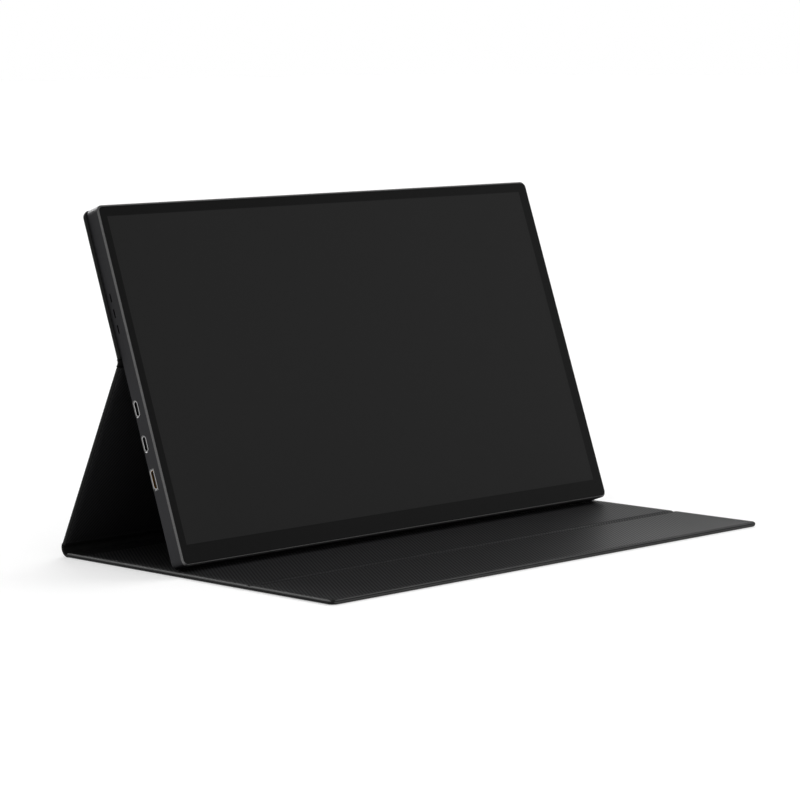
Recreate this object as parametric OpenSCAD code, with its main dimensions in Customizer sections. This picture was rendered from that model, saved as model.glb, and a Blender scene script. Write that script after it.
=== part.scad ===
// Portable monitor standing in its folding cover, sizes in millimetres.
// The origin is under the middle of the whole thing, on the table. +X runs along the screen, +Y to the back.

/* [Picture and borders] */
// Width of the picture area
picture_w = 344.2; // [300:0.1:360]
// Height of the picture area
picture_h = 193.6; // [186:0.1:205]
// Dark border left of the picture
border_left = 5.9; // [5:0.1:12]
// Dark border right of the picture
border_right = 8.5; // [5:0.1:12]
// Dark border above the picture
border_top = 6.9; // [5:0.1:12]
// Dark border below the picture
border_bottom = 12; // [10:0.1:20]

/* [Housing] */
// Thickness of the monitor
mon_t = 10.4; // [10.2:0.1:12]
// Corner radius seen from the front
mon_corner_r = 4; // [3:0.5:8]
// Side wall
wall = 1.6; // [1.2:0.1:2]
// Back wall
back_wall = 0.8; // [0.6:0.1:1]
// Thin wall left round the glass
rim_w = 1; // [0.9:0.1:1.3]
// Bright chamfer on the front edge
rim_chamfer = 0.8; // [0.4:0.1:0.8]
// Small chamfer on the back edge
back_chamfer = 0.5; // [0.2:0.1:0.7]

/* [Screen stack] */
// Cover glass
glass_t = 0.8; // [0.5:0.1:1.1]
// Gap between the glass and the rim
glass_gap = 0.15; // [0.1:0.05:0.3]
// Bonding tape under the glass
tape_t = 0.3; // [0.2:0.1:0.5]
// Width of the bonding tape
tape_w = 3.2; // [2.8:0.1:3.4]
// Thin-film glass of the cell
cell_back_t = 0.5; // [0.4:0.1:0.7]
// Colour-filter glass of the cell
cell_front_t = 0.6; // [0.4:0.1:0.7]
// Cell beyond the picture at the sides and top
cell_edge = 2; // [1.5:0.1:2.4]
// Cell beyond the picture at the bottom
cell_bottom = 5; // [4:0.1:6]
// Bare ledge of the cell that carries the drivers
cell_ledge = 2.5; // [1.5:0.1:3.5]
// Stack of optical films
films_t = 0.4; // [0.3:0.1:0.6]
// Light guide
guide_t = 0.6; // [0.5:0.1:0.8]
// Reflector sheet
reflector_t = 0.2; // [0.1:0.1:0.3]
// Sheet metal of the panel tray
tray_t = 0.3; // [0.2:0.1:0.4]
// Gap between the stack and the tray's walls
tray_gap = 0.3; // [0.2:0.1:0.4]
// Width of the row of light diodes
led_w = 2.5; // [1.5:0.1:3]
// Length of the source board
source_board_l = 210; // [150:1:280]
// Height of the source board
source_board_h = 13; // [8:0.5:18]
// Thickness of the source board
source_board_t = 0.8; // [0.6:0.1:1]

/* [Ports on the left] */
// Height of the upper USB-C port above the bottom edge
usb_upper_v = 94; // [88:0.5:105]
// Height of the lower USB-C port
usb_lower_v = 73.4; // [70:0.5:77]
// Height of the mini-HDMI port
hdmi_v = 52.5; // [47:0.5:55]
// Length of a USB-C shell's mouth, outside
usb_l = 8.9; // [8:0.1:9.5]
// Thickness of a port's shell, outside
shell_h = 3.2; // [3:0.1:3.4]
// Sheet metal of the port shells
shell_t = 0.3; // [0.2:0.05:0.4]
// Depth of a USB-C shell
usb_depth = 7.3; // [6:0.1:9]
// Length of the mini-HDMI shell's mouth, outside
hdmi_l = 11.2; // [10.5:0.1:12]
// Depth of the mini-HDMI shell
hdmi_depth = 7.6; // [6.5:0.1:9]
// Bevel on two corners of the mini-HDMI shell
hdmi_bevel = 1.2; // [0.8:0.1:1.5]
// How far the shells stand back from the outside
shell_inset = 0.35; // [0.2:0.05:0.6]
// Gap round the shells in the wall
port_gap = 0.15; // [0.1:0.05:0.25]
// Bright chamfer round each port
port_chamfer = 0.5; // [0.3:0.1:0.6]
// Number of gilt contacts on each face of the mini-HDMI tongue
hdmi_contacts = 10; // [6:1:12]

/* [Sound] */
// Number of slots in front of each loudspeaker
slot_count = 3; // [1:1:4]
// Pitch of the slots
slot_pitch = 9.3; // [7:0.1:11]
// Length of a slot
slot_l = 5.3; // [3:0.1:6]
// Width of a slot
slot_w = 1; // [0.6:0.1:1.4]
// Height of the middle slot above the bottom edge
slot_v = 150; // [140:0.5:165]
// Height of the slots above the back face
slot_z = 3.5; // [3:0.1:4.5]
// Length of a loudspeaker
speaker_l = 42; // [36:0.5:50]
// Width of a loudspeaker
speaker_w = 17; // [12:0.5:25]
// Height of a loudspeaker
speaker_h = 4.8; // [4.4:0.1:5.2]

/* [Controls on the right] */
// Height of the power button above the bottom edge
power_v = 97; // [92:0.5:103]
// Length of the power button
power_l = 9; // [7:0.1:12]
// Height of the middle of the menu rocker
rocker_v = 75; // [72:0.5:78]
// Length of the menu rocker
rocker_l = 18; // [16:0.1:20]
// Width of the buttons
button_h = 2.4; // [2:0.1:2.8]
// How far the buttons stand out
button_proud = 0.5; // [0.2:0.1:0.8]
// Gap round the buttons
button_gap = 0.25; // [0.2:0.05:0.35]
// Travel of the power button
button_travel = 0.3; // [0.2:0.05:0.4]
// Radius of the rocker's pin
pin_r = 0.6; // [0.4:0.05:0.8]
// Distance between the rocker's middle and each of its feet
rocker_foot = 6.5; // [5:0.1:7]
// Height of the headphone jack above the bottom edge
jack_v = 50; // [42:0.5:52]
// Radius of the headphone jack's bore
jack_r = 1.8; // [1.75:0.05:1.9]
// Length of the headphone jack
jack_l = 13; // [11:0.5:15]
// Outer radius of the jack's nose
jack_nose_r = 2.6; // [2.4:0.1:2.8]

/* [Main board] */
// Thickness of the boards
board_t = 0.8; // [0.6:0.1:1]
// Width of the main board
main_board_w = 70; // [62:1:100]
// Main board above the upper port and below the mini-HDMI port
board_beyond_ports = 12; // [12:0.5:16]
// Radius of a screw boss
boss_r = 1.7; // [1.5:0.1:2.2]
// Radius of a screw's shank
screw_r = 0.6; // [0.5:0.05:0.7]
// Radius of a screw's head
screw_head_r = 1.4; // [1.2:0.1:1.6]
// Height of a screw's head
screw_head_h = 0.6; // [0.4:0.1:0.8]
// Height of the shield can
can_h = 1.8; // [1.5:0.1:2.4]
// Sheet metal of the shield can
can_t = 0.2; // [0.15:0.05:0.3]

/* [Cover] */
// Angle at which the screen leans back
lean = 19.5; // [15:0.5:24]
// How far the cover stands out past the monitor at each side
cover_over = 1.4; // [0.5:0.1:3]
// How far the cover stands out past the monitor's top
cover_top_over = 0.1; // [0:0.1:3]
// Outer skin
skin_t = 0.7; // [0.5:0.1:1]
// Stiffening board
stiff_t = 1.5; // [1.2:0.1:2]
// Soft lining
lining_t = 0.5; // [0.3:0.1:0.7]
// Corner radius of the cover
cover_corner_r = 4.5; // [3:0.5:10]
// Hem turned over the edge
hem_w = 5.5; // [4:0.5:8]
// Outer radius of the rear fold
rear_fold_r = 5.5; // [5:0.1:8]
// Thickness of the flexible strip at the rear fold
rear_strip_t = 1.3; // [1:0.1:2]
// Panel behind the monitor, from the rear fold to the back fold
kick_len = 122.3; // [100:0.1:140]
// How far that panel ends short of the monitor's bottom edge when the cover lies flat on its back
kick_short = 0.2; // [0:0.1:2]
// Panel under the monitor, from the rear fold to the crease
base_len = 158; // [150:0.5:180]
// Front panel, from the crease to the front edge
flap_len = 67; // [60:0.5:90]
// Half of the bare strip at the back fold
fold_gap = 2; // [1.5:0.1:3]
// Gap between a panel and the bare strip beside it
strip_gap = 0.15; // [0.1:0.05:0.3]
// Width of the bare strip at the crease
crease_gap = 5; // [4:0.5:8]
// Depth of the crease
crease_dip = 1.1; // [0.5:0.1:1.5]
// Spine strip next to the rear fold
spine_w = 13; // [11:0.5:18]
// Space between two boards that share a skin
board_space = 2; // [1:0.5:4]
// Gap under the monitor's bottom edge
seat_gap = 0.25; // [0.2:0.05:0.4]
// Gap between the folded-flat back panel and the housing
flat_gap = 0.3; // [0.2:0.05:0.5]
// Length of a magnet
magnet_l = 20; // [10:1:30]
// Width of a magnet
magnet_w = 5; // [3:0.5:7]
// Thickness of a magnet in the housing
magnet_t = 1; // [0.8:0.1:1.2]

/* [Hidden] */
$fn = 48;
eps = 1; // how far a cutter runs past a face

// The monitor, in its own frame: x along the screen, y up the screen from its bottom edge,
// z from its back face
mon_w = border_left + picture_w + border_right;
mon_h = border_bottom + picture_h + border_top;
left_x = -mon_w / 2;
right_x = mon_w / 2;
picture_x0 = left_x + border_left;
picture_x1 = picture_x0 + picture_w;
picture_y0 = border_bottom;
picture_y1 = picture_y0 + picture_h;

// The screen stack, from the front face down
tape_top = mon_t - glass_t;
cell_top = tape_top - tape_t;
cell_split = cell_top - cell_front_t;
films_top = cell_split - cell_back_t;
guide_top = films_top - films_t;
reflector_top = guide_top - guide_t;
tray_top = reflector_top - reflector_t;
tray_back = tray_top - tray_t;
cell_x0 = picture_x0 - cell_edge;
cell_x1 = picture_x1 + cell_edge;
cell_y0 = picture_y0 - cell_bottom;
cell_y1 = picture_y1 + cell_edge;
source_z = tray_back - source_board_t;
source_y0 = cell_y0 + 2;
source_end = 4; // from the source board's end to its ribbon

// The electronics, from the back wall up
shell_clear = 0.1;
port_z = back_wall + shell_clear + shell_h / 2;
board_z = port_z - board_t / 2;
board_top = board_z + board_t;
board_edge_gap = 0.3;
board_x0 = left_x + wall + board_edge_gap;
board_x1 = board_x0 + main_board_w;
board_y0 = hdmi_v - board_beyond_ports;
board_y1 = usb_upper_v + board_beyond_ports;
boss_inset = 4;
shell_x = left_x + shell_inset;
notch_gap = 0.2;
tongue_t = 0.7;
tongue_back = 1.2;
can_inset = 16;
can_w = 30;
can_l = 34;
chip_h = 1;
chip_side = 14;

// The controls on the right
flange_clear = 0.15;
flange_t = 0.8;
flange_over = 0.8;
inner_right_x = right_x - wall;
flange_x = inner_right_x - flange_clear;
stem_t = 0.8;
stem_x = flange_x - flange_t - stem_t;
switch_gap = 0.05;
plunger_x = stem_x - button_travel - switch_gap;
plunger_t = 0.5;
plunger_r = 0.8;
switch_t = 1.9;
switch_l = 4;
switch_h = 2.8;
button_board_x = plunger_x - plunger_t - switch_t;
button_board_top = port_z + switch_h / 2 + 0.4;
button_board_over = 6; // beyond the outermost switches
button_board_y0 = rocker_v - rocker_foot - button_board_over;
button_board_y1 = power_v + button_board_over;
post_t = 1.2;
post_w = 3;
pin_x = stem_x - 0.4;
pin_clear = 0.05;
rocker_lug_w = 3.2;
rocker_lug_x = pin_x - pin_r - 0.9;
jack_body_h = 4.8;
jack_body_w = 6.4;
jack_z = back_wall + shell_clear + jack_body_h / 2;
jack_x = inner_right_x - flange_clear;
jack_nose_x = right_x - shell_inset;
jack_bore_l = 11;

// The flat cables
cable_t = 0.2;
panel_cable_w = 14;
panel_cable_x = board_x1 - 2 * boss_inset - panel_cable_w;
source_x0 = panel_cable_x - source_end;
control_cable_w = 6;
control_cable_y = button_board_y0 + 5;

// The loudspeakers
speaker_clear = 0.2;
speaker_top = back_wall + speaker_h;
cone_depth = 0.8;
cone_inset = 2;
cone_rim = 1.2;

// The cover and its folds
cover_t = skin_t + stiff_t + lining_t;
cover_w = mon_w + 2 * cover_over;
fold_v = kick_len + kick_short; // the back fold above the monitor's bottom edge
upper_len = mon_h - fold_v + cover_top_over;
fold_arm = rear_fold_r - flat_gap;
seat_z = cover_t + seat_gap;
fold_z = seat_z + fold_v * cos(lean) - cover_t * sin(lean);
kick_angle = atan2(fold_arm, kick_len) + 180 - asin((fold_z - rear_fold_r) / norm([kick_len, fold_arm]));
screen_angle = 90 - lean;
fold_bend = kick_angle - screen_angle;
hinge_y = (base_len + flap_len - rear_fold_r) / 2;
fold_y = hinge_y + fold_arm * sin(kick_angle) + kick_len * cos(kick_angle);
seat_y = fold_y - fold_v * sin(lean) - cover_t * cos(lean);
magnet_inset = 14;
crease_steps = 16;

// Each panel: start, end, and whether its far end is hemmed, measured along the panel from its fold
UPPER = [fold_gap + strip_gap, upper_len, true];
KICK = [strip_gap, kick_len - fold_gap - strip_gap, false];
BASE = [strip_gap, base_len - crease_gap / 2 - strip_gap, false];
FLAP = [crease_gap / 2 + strip_gap, flap_len, true];

housing_colour = "#2f2f34";
glass_colour = "#1d1d1e";
metal_colour = "#b9babd";
board_colour = "#1f4a36";
gilt_colour = "#c9a24a";
black_colour = "#141416";
skin_colour = "#222226";
lining_colour = "#3c3a39";
stiff_colour = "#8d877c";
white_colour = "#e6e6e2";

module in_monitor() {
    translate([0, seat_y, seat_z]) rotate([90 - lean, 0, 0]) children();
}

module in_upper() {
    in_monitor() translate([0, fold_v, -cover_t]) children();
}

module in_kick() {
    translate([0, hinge_y, rear_fold_r]) rotate([kick_angle, 0, 0]) translate([0, 0, -rear_fold_r])
        children();
}

module in_base() {
    translate([0, hinge_y, 0]) rotate([0, 0, 180]) children();
}

module in_flap() {
    translate([0, hinge_y - base_len, 0]) rotate([0, 0, 180]) children();
}

// Flat shapes

module rounded_box_2d(x0, y0, x1, y1, r) {
    translate([x0 + r, y0]) square([x1 - x0 - 2 * r, y1 - y0]);
    translate([x0, y0 + r]) square([x1 - x0, y1 - y0 - 2 * r]);
    for (x = [x0 + r, x1 - r], y = [y0 + r, y1 - r])
        translate([x, y]) circle(r);
}

module slot_2d(l, h) {
    square([l - h, h], center = true);
    for (s = [-1, 1])
        translate([s * (l - h) / 2, 0]) circle(h / 2);
}

module hdmi_2d(l, h, bevel) {
    polygon([[-l / 2, h / 2], [l / 2, h / 2], [l / 2, bevel - h / 2], [l / 2 - bevel, -h / 2],
        [bevel - l / 2, -h / 2], [-l / 2, bevel - h / 2]]);
}

// Box between two corners
module block(low, high) {
    translate(low) cube(high - low);
}

// Turns a flat shape so that it runs up the screen, and gives it depth in +x
module from_side(x, y, z, depth) {
    translate([x, y, z]) rotate([90, 0, 90]) linear_extrude(depth) children();
}

// Rounded block with a straight chamfer on its top edge, from z0 to z1
module chamfered_slab(x0, y0, x1, y1, r, z0, z1, c) {
    translate([0, 0, z0]) linear_extrude(z1 - c - z0) rounded_box_2d(x0, y0, x1, y1, r);
    translate([0, y1 - r, z1 - c]) rotate([90, 0, 0]) linear_extrude(y1 - y0 - 2 * r)
        polygon([[x0, 0], [x1, 0], [x1 - c, c], [x0 + c, c]]);
    translate([x0 + r, 0, z1 - c]) rotate([90, 0, 90]) linear_extrude(x1 - x0 - 2 * r)
        polygon([[y0, 0], [y1, 0], [y1 - c, c], [y0 + c, c]]);
    for (x = [x0 + r, x1 - r], y = [y0 + r, y1 - r])
        translate([x, y, z1 - c]) cylinder(h = c, r1 = r, r2 = r - c);
}

// The housing

module housing_body() {
    middle = mon_t / 2;
    chamfered_slab(left_x, 0, right_x, mon_h, mon_corner_r, middle, mon_t, rim_chamfer);
    translate([0, mon_h, middle]) rotate([180, 0, 0])
        chamfered_slab(left_x, 0, right_x, mon_h, mon_corner_r, 0, middle, back_chamfer);
}

// Round-ended hole through a side wall, with a chamfer outside. side is -1 on the left and 1 on the right.
module slot_port(side, v, z, l, h, c) {
    translate([side * (right_x - wall - eps), v, z]) rotate([90, 0, 90 * side])
        linear_extrude(wall + 2 * eps) slot_2d(l, h);
    if (c > 0)
        translate([side * (right_x - c), v, z]) rotate([90, 0, 90 * side]) {
            for (s = [-1, 1])
                translate([s * (l - h) / 2, 0, 0]) cylinder(h = 2 * c, r1 = h / 2, r2 = h / 2 + 2 * c);
            translate([(h - l) / 2, 0, 0]) rotate([90, 0, 90]) linear_extrude(l - h)
                polygon([[-h / 2, 0], [h / 2, 0], [h / 2 + 2 * c, 2 * c], [-h / 2 - 2 * c, 2 * c]]);
        }
}

module hdmi_port() {
    gap = 2 * port_gap;
    flare = 4 * port_chamfer;
    leaf = 0.01;
    from_side(left_x - eps, hdmi_v, port_z, wall + 2 * eps) hdmi_2d(hdmi_l + gap, shell_h + gap, hdmi_bevel);
    hull() {
        from_side(left_x + port_chamfer, hdmi_v, port_z, leaf)
            hdmi_2d(hdmi_l + gap, shell_h + gap, hdmi_bevel);
        from_side(left_x - port_chamfer, hdmi_v, port_z, leaf)
            hdmi_2d(hdmi_l + gap + flare, shell_h + gap + flare, hdmi_bevel + port_chamfer);
    }
}

module speaker_slots(side) {
    for (i = [0 : slot_count - 1])
        slot_port(side, slot_v + (i - (slot_count - 1) / 2) * slot_pitch, slot_z, slot_l, slot_w, 0);
}

module boss_places() {
    for (x = [board_x0 + boss_inset, board_x1 - boss_inset])
        for (y = [board_y0 + boss_inset, board_y1 - boss_inset])
            translate([x, y, 0]) children();
}

module button_posts() {
    for (y = [button_board_y0, (button_board_y0 + button_board_y1 - post_w) / 2, button_board_y1 - post_w])
        block([button_board_x - board_t - post_t, y, back_wall],
            [button_board_x - board_t, y + post_w, button_board_top]);
}

module rear_housing() {
    color(housing_colour) in_monitor() {
        difference() {
            housing_body();
            translate([0, 0, back_wall]) linear_extrude(mon_t)
                rounded_box_2d(left_x + wall, wall, right_x - wall, mon_h - wall, mon_corner_r - wall);
            translate([0, 0, cell_top]) linear_extrude(mon_t)
                rounded_box_2d(left_x + rim_w, rim_w, right_x - rim_w, mon_h - rim_w, mon_corner_r - rim_w);
            for (v = [usb_upper_v, usb_lower_v])
                slot_port(-1, v, port_z, usb_l + 2 * port_gap, shell_h + 2 * port_gap, port_chamfer);
            hdmi_port();
            for (side = [-1, 1])
                speaker_slots(side);
            slot_port(1, power_v, port_z, power_l + 2 * button_gap, button_h + 2 * button_gap, 0);
            slot_port(1, rocker_v, port_z, rocker_l + 2 * button_gap, button_h + 2 * button_gap, 0);
            translate([right_x - wall - eps, jack_v, jack_z]) rotate([0, 90, 0])
                cylinder(h = wall + 2 * eps, r = jack_nose_r + port_gap);
            translate([right_x - port_chamfer, jack_v, jack_z]) rotate([0, 90, 0])
                cylinder(h = 2 * port_chamfer, r1 = jack_nose_r + port_gap,
                    r2 = jack_nose_r + port_gap + 2 * port_chamfer);
        }
        difference() {
            boss_places() translate([0, 0, back_wall]) cylinder(h = board_z - back_wall, r = boss_r);
            boss_places() translate([0, 0, back_wall + 0.2]) cylinder(h = board_z, r = screw_r + 0.05);
        }
        button_posts();
    }
}

// The screen stack

module glass_outline(inset) {
    edge = rim_w + glass_gap + inset;
    rounded_box_2d(left_x + edge, edge, right_x - edge, mon_h - edge, max(mon_corner_r - edge, 0.4));
}

module cover_glass() {
    color(glass_colour) in_monitor() translate([0, 0, tape_top]) linear_extrude(glass_t) glass_outline(0);
}

module glass_tape() {
    color(black_colour) in_monitor() translate([0, 0, cell_top]) linear_extrude(tape_t)
        difference() {
            glass_outline(0);
            glass_outline(tape_w);
        }
}

module lcd_cell() {
    color("#26262b") in_monitor() {
        block([cell_x0, cell_y0, films_top], [cell_x1, cell_y1, cell_split]);
        block([cell_x0, cell_y0 + cell_ledge, cell_split], [cell_x1, cell_y1, cell_top]);
    }
}

module optical_films() {
    color(white_colour) in_monitor() block([cell_x0, cell_y0, guide_top], [cell_x1, cell_y1, films_top]);
}

module light_guide() {
    color("#cfe0e6") in_monitor()
        block([cell_x0, cell_y0 + led_w + tray_gap, reflector_top], [cell_x1, cell_y1, guide_top]);
}

module led_bar() {
    led_pitch = 12;
    led_size = 3;
    strip_t = guide_t / 2;
    color("#f2e7b0") in_monitor() {
        block([cell_x0, cell_y0, reflector_top], [cell_x1, cell_y0 + led_w, reflector_top + strip_t]);
        for (i = [0 : floor((cell_x1 - cell_x0 - led_size) / led_pitch)])
            block([cell_x0 + i * led_pitch, cell_y0 + 0.4, reflector_top + strip_t],
                [cell_x0 + i * led_pitch + led_size, cell_y0 + led_w, guide_top]);
    }
}

module reflector_sheet() {
    color("#f5f5f5") in_monitor() block([cell_x0, cell_y0, tray_top], [cell_x1, cell_y1, reflector_top]);
}

module panel_tray() {
    out = tray_gap + tray_t;
    color(metal_colour) in_monitor() difference() {
        block([cell_x0 - out, cell_y0 - out, tray_back], [cell_x1 + out, cell_y1 + out, cell_top]);
        block([cell_x0 - tray_gap, cell_y0 - tray_gap, tray_top],
            [cell_x1 + tray_gap, cell_y1 + tray_gap, cell_top + eps]);
    }
}

module panel_source_board() {
    chip_l = 16;
    chip_w = 5;
    chip_t = 0.6;
    color(board_colour) in_monitor() {
        block([source_x0, source_y0, source_z],
            [source_x0 + source_board_l, source_y0 + source_board_h, tray_back]);
        for (share = [0.35, 0.75])
            block([source_x0 + share * source_board_l - chip_l / 2, source_y0 + 1.5, source_z - chip_t],
                [source_x0 + share * source_board_l + chip_l / 2, source_y0 + 1.5 + chip_w, source_z]);
    }
}

// Ribbon that leaves the back of the source board, bends down and lands on the main board
module panel_flat_cable() {
    run_in = 4;
    land = 8;
    y0 = source_y0 + source_board_h - run_in;
    y1 = source_y0 + source_board_h + 3;
    y2 = board_y0 + 2;
    y3 = y2 + land;
    top = source_z;
    low = board_top;
    color(gilt_colour) in_monitor() translate([panel_cable_x, 0, 0]) rotate([90, 0, 90])
        linear_extrude(panel_cable_w)
            polygon([[y0, top], [y1, top], [y2, low + cable_t], [y3, low + cable_t], [y3, low],
                [y2 - cable_t, low], [y1 - cable_t, top - cable_t], [y0, top - cable_t]]);
}

// The main board and what is on it

module main_board() {
    color(board_colour) in_monitor() difference() {
        block([board_x0, board_y0, board_z], [board_x1, board_y1, board_top]);
        for (v = [usb_upper_v, usb_lower_v])
            block([board_x0 - eps, v - usb_l / 2 - notch_gap, board_z - eps],
                [shell_x + usb_depth + notch_gap, v + usb_l / 2 + notch_gap, board_top + eps]);
        block([board_x0 - eps, hdmi_v - hdmi_l / 2 - notch_gap, board_z - eps],
            [shell_x + hdmi_depth + notch_gap, hdmi_v + hdmi_l / 2 + notch_gap, board_top + eps]);
        boss_places() translate([0, 0, board_z - eps]) cylinder(h = board_t + 2 * eps, r = screw_r + 0.2);
    }
}

can_x0 = board_x0 + can_inset;
can_y0 = (board_y0 + board_y1 - can_l) / 2;

module board_chips() {
    color(black_colour) in_monitor() {
        for (place = [[can_x0 + can_w / 2, can_y0 + can_l / 3], [can_x0 + can_w / 2, can_y0 + can_l * 0.78]])
            block([place[0] - chip_side / 2, place[1] - chip_side / 2 + 2, board_top],
                [place[0] + chip_side / 2, place[1] + chip_side / 2 - 2, board_top + chip_h]);
        for (v = [usb_upper_v, usb_lower_v])
            block([shell_x + usb_depth + 1, v - 2.5, board_top],
                [shell_x + usb_depth + 4, v + 2.5, board_top + chip_h]);
    }
}

module shield_can() {
    color(metal_colour) in_monitor() difference() {
        block([can_x0, can_y0, board_top], [can_x0 + can_w, can_y0 + can_l, board_top + can_h]);
        block([can_x0 + can_t, can_y0 + can_t, board_top - eps],
            [can_x0 + can_w - can_t, can_y0 + can_l - can_t, board_top + can_h - can_t]);
    }
}

module board_screws() {
    color(metal_colour) in_monitor() boss_places() {
        translate([0, 0, board_top]) difference() {
            cylinder(h = screw_head_h, r = screw_head_r);
            for (a = [0, 90])
                translate([0, 0, screw_head_h]) rotate([0, 0, a]) cube([1.5, 0.3, 0.6], center = true);
        }
        translate([0, 0, back_wall + 0.4]) cylinder(h = board_top - back_wall - 0.4, r = screw_r);
    }
}

module usb_c_socket(v) {
    inner = 2 * shell_t;
    color(metal_colour) in_monitor() difference() {
        from_side(shell_x, v, port_z, usb_depth) slot_2d(usb_l, shell_h);
        from_side(shell_x - eps, v, port_z, usb_depth - shell_t + eps)
            slot_2d(usb_l - inner, shell_h - inner);
    }
}

module usb_c_socket_upper() {
    usb_c_socket(usb_upper_v);
}

module usb_c_socket_lower() {
    usb_c_socket(usb_lower_v);
}

module usb_c_tongues() {
    inner = 2 * shell_t;
    blade_inset = 0.8;
    blade_l = usb_l - inner - 1.6;
    color(black_colour) in_monitor()
        for (v = [usb_upper_v, usb_lower_v]) {
            from_side(shell_x + usb_depth - shell_t - tongue_back, v, port_z, tongue_back)
                slot_2d(usb_l - inner, shell_h - inner);
            block([shell_x + blade_inset, v - blade_l / 2, port_z - tongue_t / 2],
                [shell_x + usb_depth - shell_t - tongue_back, v + blade_l / 2, port_z + tongue_t / 2]);
        }
}

module mini_hdmi_socket() {
    inner = 2 * shell_t;
    color(metal_colour) in_monitor() difference() {
        from_side(shell_x, hdmi_v, port_z, hdmi_depth) hdmi_2d(hdmi_l, shell_h, hdmi_bevel);
        from_side(shell_x - eps, hdmi_v, port_z, hdmi_depth - shell_t + eps)
            hdmi_2d(hdmi_l - inner, shell_h - inner, hdmi_bevel - shell_t / 2);
    }
}

hdmi_tongue_inset = 0.9;
hdmi_tongue_l = hdmi_l - 2.6;
hdmi_tongue_x1 = shell_x + hdmi_depth - shell_t - tongue_back;

module mini_hdmi_tongue() {
    inner = 2 * shell_t;
    color(black_colour) in_monitor() {
        from_side(hdmi_tongue_x1, hdmi_v, port_z, tongue_back)
            hdmi_2d(hdmi_l - inner, shell_h - inner, hdmi_bevel - shell_t / 2);
        block([shell_x + hdmi_tongue_inset, hdmi_v - hdmi_tongue_l / 2, port_z - tongue_t / 2],
            [hdmi_tongue_x1, hdmi_v + hdmi_tongue_l / 2, port_z + tongue_t / 2]);
    }
}

module mini_hdmi_contacts() {
    pitch = hdmi_tongue_l / hdmi_contacts;
    contact_t = 0.12;
    color(gilt_colour) in_monitor()
        for (i = [0 : hdmi_contacts - 1], s = [-1, 1])
            translate([shell_x + hdmi_tongue_inset + 0.3, hdmi_v + (i + 0.5) * pitch - hdmi_tongue_l / 2,
                port_z + s * (tongue_t + contact_t) / 2])
                translate([0, -pitch / 4, -contact_t / 2])
                    cube([hdmi_tongue_x1 - shell_x - hdmi_tongue_inset - 0.3, pitch / 2, contact_t]);
}

// The loudspeakers, each with a racetrack cone facing the screen and a mouth behind the slots

module speaker(side) {
    near = right_x - wall - speaker_clear;
    mouth_l = (slot_count - 1) * slot_pitch + slot_l + 1;
    color(black_colour) in_monitor() scale([side, 1, 1]) difference() {
        translate([0, 0, back_wall]) linear_extrude(speaker_h)
            rounded_box_2d(near - speaker_w, slot_v - speaker_l / 2, near, slot_v + speaker_l / 2, 1);
        translate([near - speaker_w / 2, slot_v, speaker_top - cone_depth]) rotate([0, 0, 90])
            linear_extrude(speaker_h) difference() {
                slot_2d(speaker_l - 2 * cone_inset, speaker_w - 2 * cone_inset);
                slot_2d(speaker_l - 2 * cone_inset - 2 * cone_rim, speaker_w - 2 * cone_inset - 2 * cone_rim);
            }
        block([near - 1.2, slot_v - mouth_l / 2, slot_z - slot_w],
            [near + eps, slot_v + mouth_l / 2, slot_z + slot_w]);
    }
}

module speaker_left() {
    speaker(-1);
}

module speaker_right() {
    speaker(1);
}

// The controls

module headphone_jack() {
    color(black_colour) in_monitor() difference() {
        union() {
            block([jack_x - jack_l, jack_v - jack_body_w / 2, jack_z - jack_body_h / 2],
                [jack_x, jack_v + jack_body_w / 2, jack_z + jack_body_h / 2]);
            translate([jack_x, jack_v, jack_z]) rotate([0, 90, 0])
                cylinder(h = jack_nose_x - jack_x, r = jack_nose_r);
        }
        translate([jack_nose_x - jack_bore_l, jack_v, jack_z]) rotate([0, 90, 0])
            cylinder(h = jack_bore_l + eps, r = jack_r);
    }
}

module button_board() {
    color(board_colour) in_monitor()
        block([button_board_x - board_t, button_board_y0, back_wall],
            [button_board_x, button_board_y1, button_board_top]);
}

module tact_switches() {
    color(metal_colour) in_monitor()
        for (v = [power_v, rocker_v - rocker_foot, rocker_v + rocker_foot]) {
            block([button_board_x, v - switch_l / 2, port_z - switch_h / 2],
                [button_board_x + switch_t, v + switch_l / 2, port_z + switch_h / 2]);
            translate([button_board_x + switch_t, v, port_z]) rotate([0, 90, 0])
                cylinder(h = plunger_t, r = plunger_r);
        }
}

// Ribbon that runs along the back wall from the main board to the button board
module control_flat_cable() {
    x0 = board_x1 - 5;
    x1 = board_x1 + 3;
    x3 = button_board_x - board_t;
    low = back_wall;
    color(gilt_colour) in_monitor() translate([0, control_cable_y + control_cable_w, 0]) rotate([90, 0, 0])
        linear_extrude(control_cable_w)
            polygon([[x0, board_top], [x1, board_top], [x1 + 1, low], [x3, low], [x3, low + 1.5],
                [x3 - cable_t, low + 1.5], [x3 - cable_t, low + cable_t], [x1 + 1 + cable_t, low + cable_t],
                [x1 + cable_t, board_top + cable_t], [x0, board_top + cable_t]]);
}

module power_button() {
    color(housing_colour) in_monitor() {
        from_side(flange_x, power_v, port_z, right_x + button_proud - flange_x) slot_2d(power_l, button_h);
        from_side(flange_x - flange_t, power_v, port_z, flange_t)
            slot_2d(power_l + 2 * flange_over, button_h + flange_over);
        translate([stem_x, power_v, port_z]) rotate([0, 90, 0]) cylinder(h = stem_t, r = plunger_r);
    }
}

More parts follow.
